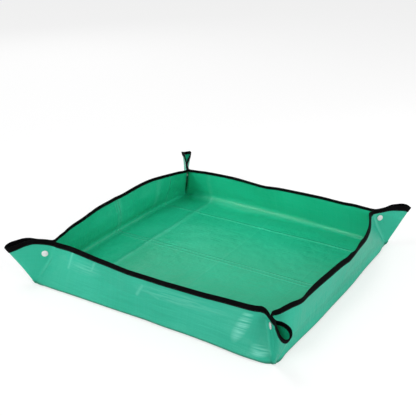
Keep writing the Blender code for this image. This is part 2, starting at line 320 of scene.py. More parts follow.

# Short creases in the sheet, pressed in, with painted highlights that make them pale along their length:
# both ends in the flat pattern, width and strength
CREASE_MARKS = (
    (-0.1845, -0.3027, -0.1824, -0.3335, 0.0044, 1),
    (-0.1256, -0.312, -0.1213, -0.3265, 0.0044, 0.8),
    (-0.0167, -0.3, -0.0062, -0.318, 0.0046, 0.8),
    (0.0278, -0.3041, 0.006, -0.311, 0.0036, 0.5),
    (0.2272, -0.2901, 0.2128, -0.2644, 0.006, 0.25),
    (0.2272, -0.2901, 0.2475, -0.2707, 0.006, 0.25),
    (0.262, 0.247, 0.33, 0.23, 0.005, 0.6),
    (-0.27, 0.002, -0.335, 0.009, 0.01, 0.35),
    (-0.27, 0.13, -0.33, 0.145, 0.01, 0.3),
)

# Painted sheen: pale patches that stand for highlights on the sheet. Middle in the flat pattern, half
# sizes, turn in degrees, strength
PAINTED_SHEEN_PATCHES = (
    (0.192, -0.303, 0.013, 0.033, 22, 1),
    (0.229, -0.274, 0.018, 0.013, -10, 1),
    (-0.15, -0.312, 0.05, 0.015, 0, 0.35),
    (0.07, -0.314, 0.1, 0.014, 0, 0.45),
)

# Grids and steps
WALL_GRID = (132, 26)
BEND_GRID = (132, 8)
EAR_GRID = (36, 30)
EAR_BEND_GRID = (8, 30)
FLOOR_GRID = (120, 120)
VERTEX_GRID = (12, 6)
TURN_STEPS = 48
TABLE_STEPS = 200
RIM_SAMPLES = 400
SETTLING_ROUNDS = 3
REVERSED = (0, 3, 2, 1)
NORMAL_STEP = 0.0002
LEAST_ANGLE = 0.0002

# Colours, matched to the photograph
INSIDE_GREEN = (0.007, 0.42, 0.218)
INSIDE_GREEN_PALE = (0.015, 0.515, 0.29)
# The outside's green is the sheet's green made paler and bluer: painted sheen of the white ground and
# room on the outer face
PAINTED_SHEEN_OUTSIDE_GREEN = (0.015, 0.4, 0.252)
PAINTED_SHEEN_OUTSIDE_GREEN_PALE = (0.032, 0.48, 0.322)
# Pale green for worn storage folds, and for the painted highlights of crease marks and sheen patches
WORN_AND_SHEEN_GREEN = (0.2, 0.7, 0.56)
# Dark green of the painted shade along the outside of the floor's creases
PAINTED_SHADE_GREEN = (0.02, 0.12, 0.08)
# The ear's inside green is painted brighter: painted light that comes through the sheet into the ear's
# hollow
PAINTED_LIGHT_EAR_GREEN = (0.01, 0.54, 0.29)
PAINTED_LIGHT_EAR_GREEN_PALE = (0.02, 0.64, 0.37)
BINDING_BLACK = (0.001, 0.0009, 0.0012)
BINDING_DUSTY = (0.006, 0.0055, 0.0065)
THREAD_BLACK = (0.006, 0.0055, 0.0065)
SNAP_WHITE = (0.76, 0.765, 0.76)
SNAP_SHADE = (0.62, 0.625, 0.625)

# Finishes. A noise has its scale and detail, and a stretch where it isn't even. A range has the
# values that it starts from and, where they aren't 0 and 1, those that it leads to. A bump has its
# distance and strength
WEAVE_PITCH = 0.0024
TAPE_NOISE = (1 / WEAVE_PITCH, 1)
TAPE_STRETCHES = ((1, 0.03, 1), (0.03, 1, 1))
STREAK_SHARE = 0.35
CLOUD_NOISE = (9, 3)
NOISE_RANGE = (0.3, 0.7)
WEAR_NOISE = (60, 2)
WEAR_RANGE = (0.35, 0.7, 0.1, 0.5)
LINE_NOISE = (230, 3, (0.06, 1, 1))
LINE_RANGE = (0.4, 0.62)
CRUMPLE_NOISE = (16, 3, (1.2, 0.8, 1))
CRINKLE_NOISE = (70, 4)
CRUMPLE_BUMP = (0.006, 0.6)
FOLD_BUMP = (STORAGE_RISE, 1)
LINE_BUMP = (0.001, 0.5)
CRINKLE_BUMP = (0.0016, 0.7)
WEAVE_BUMP = (0.00012, 0.5)
# How pale the crease marks are painted, as painted highlights
MARK_HIGHLIGHT_PALENESS = 0.42
MARK_DEPTH = 0.15
SHEEN_PATCH_MIDDLE_SHARE = 0.35
WOVEN_ROUGHNESS = (0.29, 0.41)
RIB_PITCH = 0.0008
LINT_NOISE = (420, 3)
LINT_RANGE = (0.4, 0.7)
RUB_NOISE = (45, 3)
RUB_RANGE = (0.45, 0.75)
COARSE_NOISE = (240, 2)
COARSE_BUMP = (0.0004, 0.4)
RIB_BUMP = (0.00012, 0.6)
BINDING_ROUGHNESS = (0.72, 0.88)
BINDING_SPECULAR = 0.06
TWIST_NOISE = (2400, 1)
TWIST_BUMP = (0.0001, 0.5)
THREAD_ROUGHNESS = 0.48
DULL_NOISE = (300, 3)
DULL_RANGE = (0.35, 0.8)
GRAIN_NOISE = (900, 2)
GRAIN_BUMP = (0.0001, 0.2)
SNAP_ROUGHNESS = (0.26, 0.4)
SNAP_SUBSURFACE = 0.06
SNAP_SCATTER = (0.001, 0.001, 0.001)

# Stage. A softbox has its place, size and power, and where it is narrow, its aim and spread
WHITE = (1, 1, 1)
GROUND_SIDE = 16
GROUND_HEIGHT = -0.0006
GROUND_PAPER = (0.82, 0.82, 0.82)
GROUND_SHADED = (0.5, 0.5, 0.5)
GROUND_GLOW = 0.565
ROOM_LIGHT = 0.58
SOFTBOXES = {
    "window": ((-1.9, 1.4, 1.1), 0.9, 3),
    "overhead": ((-0.6, -0.2, 2.4), 1.2, 12),
    "front": ((0.8, -2.2, 1.3), 1.6, 4),
    "side": ((2.2, -0.7, 1), 1.4, 18),
    "bend_light": ((-1, -1.7, 0.95), 0.5, 0.58, (0.02, 0.3, 0.2), 24),
    "streak": ((-0.48, -2.08, 0.38), 0.5, 4),
    "edge_light": ((1.1, 1.8, 1.1), 0.5, 2),
}

# Camera, fitted to the floor's corners, the pinched points and the ears' tips
CAMERA_AZIMUTH = math.radians(31.2227)
CAMERA_ELEVATION = math.radians(27.9086)
CAMERA_DISTANCE = 1.45018
CAMERA_FOCAL_PIXELS = 713.154
CAMERA_SHIFT_PIXELS = (-12.566, 53.269)
IMAGE_PIXELS = 416
SENSOR_WIDTH = 36

# Worked out from the sizes. Tables in millimetres are read at MM to the metre
MM = 1000
FLOOR_SIDE = SHEET_SIDE - 2 * WALL_HEIGHT
LEAN = math.asin(PINCH_INSET / WALL_HEIGHT)
CREASE_TILT = math.atan2(PINCH_INSET, WALL_HEIGHT)
TILT_COS = math.cos(CREASE_TILT)
TILT_SIN = math.sin(CREASE_TILT)
TILT_TAN = math.tan(CREASE_TILT)
WALL_FOLD = math.pi / 2 + LEAN
EAR_FOLD = math.acos(math.cos(LEAN) / math.sqrt(2))
LAYER_OFFSET = (SHEET_THICKNESS + 3 * FIT_GAP + SOCKET_HEIGHT + STUD_FLANGE) / 2
CREASE_SETBACK = LAYER_OFFSET * math.sqrt(2)
CREASE_START = FLOOR_SIDE / 2 - CREASE_SETBACK
EAR_APEX = -CREASE_SETBACK / (1 + PINCH_INSET / WALL_HEIGHT)
RIDGE_ANGLE = math.pi / 4
CREASE_ANGLE = math.pi / 2 + CREASE_TILT
MOUTH_POWER = 0.5 * MOUTH_WIDEST_SHARE / (1 - MOUTH_WIDEST_SHARE)
MOUTH_PEAK = MOUTH_WIDEST_SHARE ** MOUTH_POWER * math.sqrt(1 - MOUTH_WIDEST_SHARE)
FACE = SHEET_THICKNESS / 2 + FIT_GAP
BAND_OFFSET = FACE + BAND_THICKNESS / 2
UP = Vector((0, 0, 1))
OFF_CREASE = Vector((TILT_COS, TILT_SIN, 0))
ALONG_CREASE = Vector((-TILT_SIN, TILT_COS, 0))

# Each side: its name, turn about Z, and the corners at its plus and minus ends
SIDES = (
    ("front", 180, "left", "near"),
    ("right", 270, "near", "right"),
    ("back", 0, "right", "far"),
    ("left", 90, "far", "left"),
)
OUTWARD = {
    side: Vector((x, y, 0))
    for side, x, y in (("front", 0, -1), ("right", 1, 0), ("back", 0, 1), ("left", -1, 0))
}
DIAGONALS = {
    corner: Vector((x, y, 0)).normalized()
    for corner, x, y in (("left", -1, -1), ("near", 1, -1), ("right", 1, 1), ("far", -1, 1))
}
SIDEWAYS = {corner: Vector((way.y, -way.x, 0)) for corner, way in DIAGONALS.items()}
PINCHES = {
    corner: way * (FLOOR_SIDE / 2 - PINCH_INSET) * math.sqrt(2)
    for corner, way in DIAGONALS.items()
}


# Small sums

def clamped(value):
    return min(max(value, 0.0), 1.0)


def smooth(value):
    value = clamped(value)
    return value * value * (3 - 2 * value)


def risen(value, low, high):
    """A smooth rise from 0 at low to 1 at high."""
    return smooth((value - low) / (high - low))


def from_table(table, place):
    """A smooth curve through a table of (place, value)."""
    last = len(table) - 1
    i = 0
    while i < last - 1 and place > table[i + 1][0]:
        i += 1
    before, start = table[max(i - 1, 0)], table[i]
    end, after = table[i + 1], table[min(i + 2, last)]
    width = end[0] - start[0]
    share = clamped((place - start[0]) / width)
    slope_in = width * (end[1] - before[1]) / (end[0] - before[0]) if i > 0 else 0.0
    slope_out = width * (after[1] - start[1]) / (after[0] - start[0]) if i + 1 < last else 0.0
    rise = end[1] - start[1]
    bend_in = slope_in - rise
    bend_out = rise - slope_out
    across = bend_in * (1 - share) + bend_out * share
    return start[1] + share * rise + share * (1 - share) * across


def sampled(tables):
    """Each side's table as values in metres, at even steps along the floor's edge."""
    places = [FLOOR_SIDE * MM * (k / TABLE_STEPS - 0.5) for k in range(TABLE_STEPS + 1)]
    return {
        side: [from_table(table, place) / MM for place in places]
        for side, table in tables.items()
    }


BEND_SAMPLES = sampled(FLOOR_BENDS)
BEND_MEANS = {side: sum(samples) / len(samples) for side, samples in BEND_SAMPLES.items()}
BOW_SAMPLES = sampled(EDGE_BOWS)


def sample_at(samples, along):
    """The value at a distance from the middle of the floor's edge."""
    place = clamped(along / FLOOR_SIDE + 0.5) * TABLE_STEPS
    k = min(int(place), TABLE_STEPS - 1)
    return samples[k] + (place - k) * (samples[k + 1] - samples[k])


def ripple(place, seed):
    """Gentle unevenness of a lying sheet."""
    broad = noise.noise(Vector((*place, seed)) * RIPPLE_SCALE)
    fine = noise.noise(Vector((*place, seed + FINE_SEED_STEP)) * RIPPLE_SCALE * FINE_RIPPLE_SCALE)
    return broad + FINE_RIPPLE_SHARE * fine


# Frames

def side_frame(turn):
    """The side's crease frame laid flat: X along the crease, Y outwards, Z up."""
    out = Matrix.Translation((0, FLOOR_SIDE / 2, SHEET_THICKNESS / 2))
    return Matrix.Rotation(math.radians(turn), 4, "Z") @ out


def wall_frame(turn):
    return side_frame(turn) @ Matrix.Rotation(WALL_FOLD, 4, "X")


def ear_frame(turn, end):
    axis = Vector((-end * TILT_SIN, TILT_COS, 0))
    fold = Quaternion(axis, end * EAR_FOLD).to_matrix().to_4x4()
    return wall_frame(turn) @ Matrix.Translation((end * CREASE_START, 0, 0)) @ fold


def ear_panel(turn, end):
    """From the plus end's ear half, in its wall's flat crease frame, to its place in the tray."""
    apart = Matrix.Diagonal((end, 1, 1, 1)) @ Matrix.Translation((-CREASE_START, 0, 0))
    return ear_frame(turn, end) @ apart


def flat_place(turn, x, y):
    """Where a point of a side's flat pattern lies in the whole sheet's flat pattern."""
    return Matrix.Rotation(math.radians(turn), 4, "Z") @ Vector((x, FLOOR_SIDE / 2 + y, 0))


# Warps of the folded sheet

def bowed(point):
    """Moves a point with the floor's edges, which bow outwards below the snaps."""
    fade = 1 - smooth(point.z / EDGE_BOW_HEIGHT)
    if fade <= 0:
        return point
    moved = point.copy()
    for side, out in OUTWARD.items():
        near = smooth(1 - (FLOOR_SIDE / 2 - point.dot(out)) / EDGE_BOW_REACH)
        if near > 0:
            along = point.dot(Vector((out.y, -out.x, 0)))
            moved += out * sample_at(BOW_SAMPLES[side], along) * near * fade
    return moved


def pinched(point, side, corner):
    """Lets the rim hang over beside an ear, and brings the ear's layers together above its snap."""
    outwards, sideways = DIAGONALS[corner], SIDEWAYS[corner]
    off = Vector((point.x, point.y, 0)) - PINCHES[corner]
    away, aside = off.dot(outwards), point.dot(sideways)
    wall_reach = PINCH_REACHES[corner][side]
    reach = wall_reach + (EAR_REACH - wall_reach) * smooth(away / EAR_REACH_BLEND)
    share = smooth(1 - off.length / reach) * risen(point.z, *FLARE_HEIGHTS)
    out, sway, down = PINCH_SHIFTS[corner]
    closed = risen(point.z, *PINCH_CLOSE_HEIGHTS) * smooth(2 - abs(aside) / PINCH_CLOSE_WIDTH)
    closed *= smooth(1 + away / PINCH_CLOSE_INWARD)
    closed *= smooth(2 - away / PINCH_CLOSE_OUTWARD * PINCH_CLOSE_STEEPNESS)
    moved = point + share * (out * outwards + sway * sideways - down * UP)
    return moved - PINCH_CLOSE_SHARE * closed * aside * sideways


def tipped(point, corner):
    """Lifts and sways the far end of an ear."""
    away = (point - PINCHES[corner]).dot(DIAGONALS[corner])
    if away <= 0:
        return point
    lift = from_table(EAR_LIFTS[corner], away * MM) / MM
    sway = TIP_SWAYS[corner] * risen(away, *TIP_SPAN)
    return point + smooth(point.z / WALL_HEIGHT) * (lift * UP + sway * SIDEWAYS[corner])


def shaped(point, side, corner):
    return bowed(tipped(pinched(point, side, corner), corner))


# Surfaces of the folded sheet

def floor_bend_half(side, x):
    """Half the width of the bend along a floor crease. It narrows to nothing at the corners."""
    from_end = (CREASE_START - abs(x)) / CREASE_START
    if from_end < 0:
        return BEND_END * (1 - 2 * min(-from_end * CREASE_START / CREASE_SETBACK, 1))
    half = sample_at(BEND_SAMPLES[side], x)
    return BEND_END + (half - BEND_END) * smooth(from_end / FLOOR_BEND_TAPER_SHARE)


def ear_bend_half(along):
    """Half the width of the bend along an ear crease, at a distance from the floor crease."""
    return BEND_END + (EAR_BEND - BEND_END) * smooth(along / EAR_BEND_START)


def arc_point(half, angle, fold):
    """A point of a bend's arc, tangent to both panels at half a width from the crease."""
    radius = half * math.tan((math.pi - fold) / 2)
    return -half + radius * math.sin(angle), radius * (1 - math.cos(angle))


def leaned(distance, start, angle):
    """Along and out of a plane for a sheet that starts in it and then turns to an angle."""
    if distance <= start:
        return distance, 0.0
    turned = min((distance - start) / LEAN_RAMP, 1.0) * angle
    beyond = max(distance - start - LEAN_RAMP, 0.0)
    if abs(angle) < LEAST_ANGLE:
        return distance, (distance - start - LEAN_RAMP / 2) * angle
    radius = LEAN_RAMP / angle
    along = start + radius * math.sin(turned) + beyond * math.cos(angle)
    out = radius * (1 - math.cos(turned)) + beyond * math.sin(angle)
    return along, out


def wall_half_length(up):
    height = up * WALL_HEIGHT
    bend = ear_bend_half(height / TILT_COS) / TILT_COS
    return CREASE_START - up * PINCH_INSET - bend


def wall_relief(side, x, across, up, start):
    """How far a wall stands outwards of its even lean, for bulges, swellings and ripples."""
    edge = smooth((up * WALL_HEIGHT - start) / FOOT_FADE) * smooth((1 - abs(across)) / END_FADE_SHARE)
    out = LOW_BULGES[side] * math.sin(math.pi * clamped(up) ** BULGE_POWER)
    for place, height, wide, tall, rise in SWELLINGS[side]:
        off = ((across - place) / wide) ** 2 + ((up - height) / tall) ** 2
        fade = 1 - smooth((up - SWELLING_TOP) / TOP_FADE_SHARE)
        out += rise * math.exp(-SWELLING_SHARPNESS * off) * fade
    calm = 1 - RIM_CALM_SHARE * smooth((up - RIM_CALM_START) / TOP_FADE_SHARE)
    seed = len(side) + BEND_MEANS[side] * MM
    out += WALL_RIPPLE * calm * ripple((x, up * WALL_HEIGHT * RIPPLE_UP_SHARE), seed)
    return out * edge


def wall_point(side, across, up):
    """A point of a wall in its crease frame, between the bends of its two ear creases."""
    x = across * wall_half_length(up)
    start = floor_bend_half(side, x)
    swing = math.radians(from_table(RIM_SWINGS[side], across))
    angle = swing / (1 - (start + LEAN_RAMP / 2) / WALL_HEIGHT)
    along, out = leaned(min(up * WALL_HEIGHT, WALL_HEIGHT - CURL_REACH), start, angle)
    rolled = up * WALL_HEIGHT - (WALL_HEIGHT - CURL_REACH)
    if rolled > 0:
        curl = max(math.radians(from_table(RIM_CURLS[side], across)), LEAST_ANGLE)
        radius = CURL_REACH / curl
        turned = angle - curl * rolled / CURL_REACH
        along += radius * (math.sin(angle) - math.sin(turned))
        out += radius * (math.cos(turned) - math.cos(angle))
    return Vector((x, along, -out - wall_relief(side, x, across, up, start)))


def eased(turn):
    """Shares of an ear's angle, which lie closer together towards its ridge."""
    return 1 - (1 - turn) ** 2


def edge_reach(angle):
    """Distance from the ear's apex to the edge of the sheet, and how squarely the ray meets it."""
    straight = (WALL_HEIGHT - EAR_APEX) / math.sin(angle)
    centre = WALL_HEIGHT - CORNER_RADIUS
    if EAR_APEX + straight * math.cos(angle) <= centre:
        return straight, math.sin(angle)
    depth = math.sqrt(2) * (centre - EAR_APEX)
    turn = angle - RIDGE_ANGLE
    squareness = math.sqrt(1 - (depth * math.sin(turn) / CORNER_RADIUS) ** 2)
    return depth * math.cos(turn) + CORNER_RADIUS * squareness, squareness


def ear_ray(corner, turn):
    """A ray from the ear's apex: its angle, its reach to the rim and how squarely it meets it."""
    angle = CREASE_ANGLE + eased(turn) * (RIDGE_ANGLE - CREASE_ANGLE)
    reach, squareness = edge_reach(angle)
    return angle, reach * (1 + TIP_STRETCH_SHARES[corner] * eased(turn) ** 2), squareness


def rim_drop(turn):
    """How far the rim is lowered so that it runs level from the wall over the bend to the ear."""
    return (1 - turn) ** 2 * EAR_BEND * TILT_SIN


def ear_depth(corner, turn):
    """The largest inset of an ear's surface, where it meets the floor crease's line."""
    angle, reach, squareness = ear_ray(corner, turn)
    return (reach + EAR_APEX / math.sin(angle)) * squareness - rim_drop(turn)


def ear_point(corner, turn, inset):
    """A point of an ear half for the plus end, in its wall's flat crease frame."""
    share = eased(turn)
    angle, reach, squareness = ear_ray(corner, turn)
    distance = reach - (inset + rim_drop(turn)) / squareness
    start_share = MOUTH_START_SHARES[corner]
    opened = max(share - start_share, 0) / (1 - start_share)
    belly = opened ** MOUTH_POWER * math.sqrt(1 - opened) / MOUTH_PEAK
    rounding = math.sqrt(1 - share ** FOLD_ROUNDING_POWER)
    out = RIDGE_GAP / 2 + (LAYER_OFFSET - RIDGE_GAP / 2) * rounding
    out += MOUTHS[corner] * max(distance / reach, 0) ** MOUTH_TAPER_POWER * belly
    point = Vector((
        FLOOR_SIDE / 2 + EAR_APEX + distance * math.cos(angle),
        EAR_APEX + distance * math.sin(angle),
        LAYER_OFFSET - out,
    ))
    from_bottom = (distance + EAR_APEX / math.sin(angle)) / TILT_COS
    point += (1 - share) * ear_bend_half(from_bottom) * OFF_CREASE
    trim = RIDGE_TRIM * smooth(from_bottom / RIDGE_TRIM_START)
    return point + share * trim * Vector((-math.sin(RIDGE_ANGLE), math.cos(RIDGE_ANGLE), 0))


def ear_bend_point(turn, inset):
    """A point of the bend along the plus end's ear crease, in the wall's crease frame."""
    height = WALL_HEIGHT - inset
    half = ear_bend_half(height / TILT_COS)
    across, down = arc_point(half, turn * EAR_FOLD, EAR_FOLD)
    crease = Vector((CREASE_START - height * TILT_TAN, height, 0))
    # The panels' edges are level with each other, and not square to the crease
    level = (2 * turn - 1) * half * TILT_TAN
    return crease + across * OFF_CREASE - level * ALONG_CREASE - down * UP


def floor_point(a, b):
    """A point of the floor panel, for a and b from -1 to 1."""
    x, y = a * FLOOR_SIDE / 2, b * FLOOR_SIDE / 2
    for _ in range(SETTLING_ROUNDS):
        x_half = floor_bend_half("right", -y) if a > 0 else floor_bend_half("left", y)
        y_half = floor_bend_half("back", x) if b > 0 else floor_bend_half("front", -x)
        x = a * (FLOOR_SIDE / 2 - x_half)
        y = b * (FLOOR_SIDE / 2 - y_half)
    rise = FLOOR_RIPPLE * (FLOOR_REST + ripple((x, y), FLOOR_SEED))
    for axis, place, width, strength in STORAGE_FOLDS:
        off = (x if axis == "x" else y) - place
        rise += STORAGE_RISE * strength * math.exp(-(off / width) ** 2)
    rise *= smooth((1 - max(abs(a), abs(b))) / FLOOR_EDGE_SHARE)
    return bowed(Vector((x, y, SHEET_THICKNESS / 2 + max(rise, 0.0))))


# Meshes

def quads(rows, columns, around=False, order=(0, 1, 2, 3)):
    """Faces between rows of points, which may be rings. The order of corners turns their normals."""
    faces = []
    for row in range(rows - 1):
        for column in range(columns if around else columns - 1):
            near = row * columns + column
            far = row * columns + (column + 1) % columns
            corners = (near, far, far + columns, near + columns)
            faces.append([corners[k] for k in order])
    return faces


def new_mesh(name, points, faces, marks=()):
    """A smooth mesh. Marks give each point a place in the pattern that its material follows."""
    mesh = bpy.data.meshes.new(name)
    mesh.from_pydata(points, [], faces)
    if marks:
        values = [value for mark in marks for value in mark]
        mesh.attributes.new("flat", "FLOAT_VECTOR", "POINT").data.foreach_set("vector", values)
    mesh.shade_smooth()
    return mesh


def grid_mesh(name, columns, rows, place, flat=None):
    """A sheet whose vertices follow place(s, t). Its pattern is flat(s, t), or straight below it."""
    points, marks = [], []
    for j in range(rows + 1):
        for i in range(columns + 1):
            point = place(i / columns, j / rows)
            points.append(point)
            marks.append(flat(i / columns, j / rows) if flat else (point.x, point.y, 0))
    mesh = new_mesh(name, points, quads(rows + 1, columns + 1), marks)
    sharpen_borders(mesh)
    return mesh


def sharpen_borders(mesh):
    """Border edges are sharp, so a panel's shading runs up to its edge and not round it."""
    uses = {}
    for polygon in mesh.polygons:
        for key in polygon.edge_keys:
            uses[key] = uses.get(key, 0) + 1
    for edge in mesh.edges:
        edge.use_edge_sharp = uses.get(edge.key, 0) == 1


def face_towards(mesh, direction):
    """Flips a sheet whose normals point away from direction."""
    total = Vector()
    for polygon in mesh.polygons:
        total += polygon.normal * polygon.area
    if total.dot(direction) < 0:
        mesh.flip_normals()


def add_object(mesh, *materials):
    """An object of its mesh's name."""
    piece = bpy.data.objects.new(mesh.name, mesh)
    bpy.context.scene.collection.objects.link(piece)
    for material in materials:
        mesh.materials.append(material)
    return piece


def thicken(piece, thickness):
    shell = piece.modifiers.new("Thickness", "SOLIDIFY")
    shell.thickness = thickness
    shell.offset = 0
    shell.use_even_offset = False
    return shell


def add_sheet(mesh, inside, lining=None):
    """A sheet of two faces: the inner one and the outer one."""
    face_towards(mesh, inside)
    piece = add_object(mesh, lining or inner_green, outer_green)
    shell = thicken(piece, SHEET_THICKNESS)
    shell.material_offset = 1
    shell.material_offset_rim = 1
    return piece


def frame_at(surface, s, inset, hand):
    """A surface's point, its normal towards the inside and the way along the rim."""
    along = surface(min(s + NORMAL_STEP, 1), inset) - surface(max(s - NORMAL_STEP, 0), inset)
    inwards = surface(s, inset + NORMAL_STEP) - surface(s, inset - NORMAL_STEP)
    return surface(s, inset), hand * along.cross(inwards).normalized(), along.normalized()


def rim_places(surface, spacing):
    """Places along a surface's rim that are about equally spaced, and the rim's length."""
    rim = [surface(i / RIM_SAMPLES, 0) for i in range(RIM_SAMPLES + 1)]
    lengths = [0.0]
    for last, here in zip(rim, rim[1:]):
        lengths.append(lengths[-1] + (here - last).length)
    count = max(round(lengths[-1] / spacing), 2)
    places, i = [], 0
    for k in range(count + 1):
        wanted = lengths[-1] * k / count
        while i < RIM_SAMPLES - 1 and lengths[i + 1] < wanted:
            i += 1
        places.append((i + clamped((wanted - lengths[i]) / (lengths[i + 1] - lengths[i]))) / RIM_SAMPLES)
    return places, lengths[-1]


def inner_width(widest, s):
    """The tape's inner leg, which may grow wider along an ear than it is on the walls."""
    return BAND_INNER_WIDTH + (widest - BAND_INNER_WIDTH) * smooth(s / BAND_GROWTH_SHARE)


def band_profile(inner):
    """The folded tape's middle line, as (inset from the edge, offset along the normal)."""
    full = BAND_OFFSET + BAND_PUFF

    def leg(width, face):
        seam = width - STITCH_FROM_EDGE
        line = [(width, 0.0), (width - STITCH_FROM_EDGE / 2, HEM_PUFF)]
        line += [(seam * share, puff) for share, puff in LEG_PUFFS]
        return [(inset, face * (BAND_OFFSET + BAND_PUFF * puff)) for inset, puff in line]

    turn = [(-full * inset, full * offset) for inset, offset in BAND_TURN]
    return leg(inner, 1) + turn + leg(BAND_WIDTH, -1)[::-1]


def band_mesh(name, surface, hand, spacing, widest):
    """The tape along a surface's rim, puckered a little between its stitches."""
    places, length = rim_places(surface, spacing)
    points, marks = [], []
    for k, s in enumerate(places):
        run = length * k / (len(places) - 1)
        pucker = BAND_PUCKER * math.cos(2 * math.pi * run / STITCH_PITCH)
        profile = band_profile(inner_width(widest, s))
        for inset, offset in profile:
            point, normal, _ = frame_at(surface, s, inset, hand)
            points.append(point + normal * (offset + math.copysign(pucker, offset)))
            marks.append((run, inset + BAND_FACES_APART * (offset > 0), 0))
    mesh = new_mesh(name, points, quads(len(places), len(profile), order=REVERSED), marks)
    sharpen_borders(mesh)
    return mesh


def stitch_mesh(name, surface, hand, widest):
    """Stitches on both faces: short threads that rise out of the tape and dive back in."""
    places, length = rim_places(surface, STITCH_PITCH)
    half = STITCH_LENGTH / length / 2
    points, faces = [], []
    tube = quads(len(STITCH_LIFTS), STITCH_SIDES, around=True, order=REVERSED)
    rest = BAND_OFFSET + BAND_THICKNESS / 2 - BAND_PUFF / 2
    for start, end in zip(places, places[1:]):
        middle = (start + end) / 2
        for face, width in ((1, inner_width(widest, middle)), (-1, BAND_WIDTH)):
            faces += [[len(points) + corner for corner in face_corners] for face_corners in tube]
            for k, lift in enumerate(STITCH_LIFTS):
                s = middle + half * (2 * k / (len(STITCH_LIFTS) - 1) - 1)
                point, normal, along = frame_at(surface, s, width - STITCH_FROM_EDGE, hand)
                side = normal.cross(along)
                centre = point + face * normal * (rest + lift * STITCH_RADIUS)
                for edge in range(STITCH_SIDES):
                    angle = 2 * math.pi * edge / STITCH_SIDES
                    ring = side * math.cos(angle) + normal * math.sin(angle)
                    points.append(centre + ring * STITCH_RADIUS)
    return new_mesh(name, points, faces, points)


def add_band(name, surface, inside, steps=BAND_STEPS_PER_STITCH, widest=BAND_INNER_WIDTH):
    """A stretch of binding and its stitches."""
    _, normal, _ = frame_at(surface, 0.5, BAND_WIDTH, 1)
    hand = 1 if normal.dot(inside) > 0 else -1
    tape = add_object(band_mesh(name, surface, hand, STITCH_PITCH / steps, widest), black)
    thicken(tape, BAND_THICKNESS)
    thread = add_object(stitch_mesh(name + "_stitches", surface, hand, widest), thread_black)
    return tape, thread


def turned_mesh(name, profile):
    """A section of (radius, height) turned about Z."""
    points = []
    for radius, height in profile:
        for step in range(TURN_STEPS):
            angle = 2 * math.pi * step / TURN_STEPS
            points.append((radius * math.cos(angle), radius * math.sin(angle), height))
    mesh = new_mesh(name, points, quads(len(profile), TURN_STEPS, around=True))
    mesh.validate()
    return mesh


# Materials

def make_material(name):
    material = bpy.data.materials.new(name)
    material.use_nodes = True
    return material, material.node_tree, material.node_tree.nodes["Principled BSDF"]


def feed(made, inputs):
    """Joins a node's inputs to sockets, or sets them to numbers, places or colours."""
    for key, value in inputs.items():
        socket = made.inputs[key]
        if isinstance(value, bpy.types.NodeSocket):
            made.id_data.links.new(value, socket)
        elif socket.type == "RGBA":
            socket.default_value = (*value, 1)
        else:
            socket.default_value = value


def node(tree, kind, inputs, output=0, **settings):
    """Adds a shader node; returns one of its outputs."""
    made = tree.nodes.new("ShaderNode" + kind)
    for key, value in settings.items():
        setattr(made, key, value)
    feed(made, inputs)
    return made.outputs[output]


def sum_node(operation, *values):
    """One sum on sockets or numbers, of which the first is a socket."""
    return node(values[0].id_data, "Math", dict(enumerate(values)), operation=operation)


def times(first, second):
    return sum_node("MULTIPLY", first, second)


def absolute(value):
    return sum_node("ABSOLUTE", value)


def vector_node(tree, operation, inputs, output=0):
    return node(tree, "VectorMath", inputs, output, operation=operation)


def noise_node(place, scale, detail, stretch=(1, 1, 1)):
    """Noise on a stretched place."""
    stretched = node(place.id_data, "Mapping", {"Vector": place, "Scale": stretch})
    inputs = {"Vector": stretched, "Scale": scale, "Detail": detail}
    return node(place.id_data, "TexNoise", inputs, "Fac")


def mix_colours(share, first, second):
    return node(share.id_data, "Mix", {0: share, 6: first, 7: second}, 2, data_type="RGBA")


def ranged(value, low, high, start=0.0, end=1.0):
    """A value between low and high, carried over to lie between start and end."""
    limits = {"From Min": low, "From Max": high, "To Min": start, "To Max": end}
    return node(value.id_data, "MapRange", {"Value": value, **limits})


def bump(height, distance, strength, before=None):
    inputs = {"Height": height, "Distance": distance, "Strength": strength}
    if before is not None:
        inputs["Normal"] = before
    return node(height.id_data, "Bump", inputs)


def weighed(share, first, second):
    """A share of the first value and the rest of the second."""
    return sum_node("ADD", times(first, share), times(second, 1 - share))


def largest(values):
    whole = values[0]
    for value in values[1:]:
        whole = sum_node("MAXIMUM", whole, value)
    return whole


def flat_pattern(tree):
    """A point's place in the flat pattern, and that place's axes."""
    place = node(tree, "Attribute", {}, "Vector", attribute_name="flat")
    return place, node(tree, "SeparateXYZ", {0: place}).node.outputs


def storage_folds(axes):
    """One along each storage fold, times its strength, fading to nothing beside it."""
    lines = []
    for axis, at, width, strength in STORAGE_FOLDS:
        off = sum_node("SUBTRACT", axes["xy".index(axis)], at)
        lines.append(ranged(absolute(off), width, 0.0, 0.0, strength))
    return largest(lines)


def crease_marks(tree, place):
    """Each short crease's strength along its middle, fading to nothing at its sides and ends."""
    marks = []
    for x0, y0, x1, y1, width, strength in CREASE_MARKS:
        run = Vector((x1 - x0, y1 - y0, 0))
        off = vector_node(tree, "SUBTRACT", {0: place, 1: (x0, y0, 0)})
        along = vector_node(tree, "DOT_PRODUCT", {0: off, 1: run / run.length_squared}, "Value")
        foot = vector_node(tree, "SCALE", {0: run, "Scale": ranged(along, 0.0, 1.0)})
        apart = vector_node(tree, "DISTANCE", {0: off, 1: foot}, "Value")
        marks.append(ranged(apart, width, 0.0, 0.0, strength))
    return largest(marks)


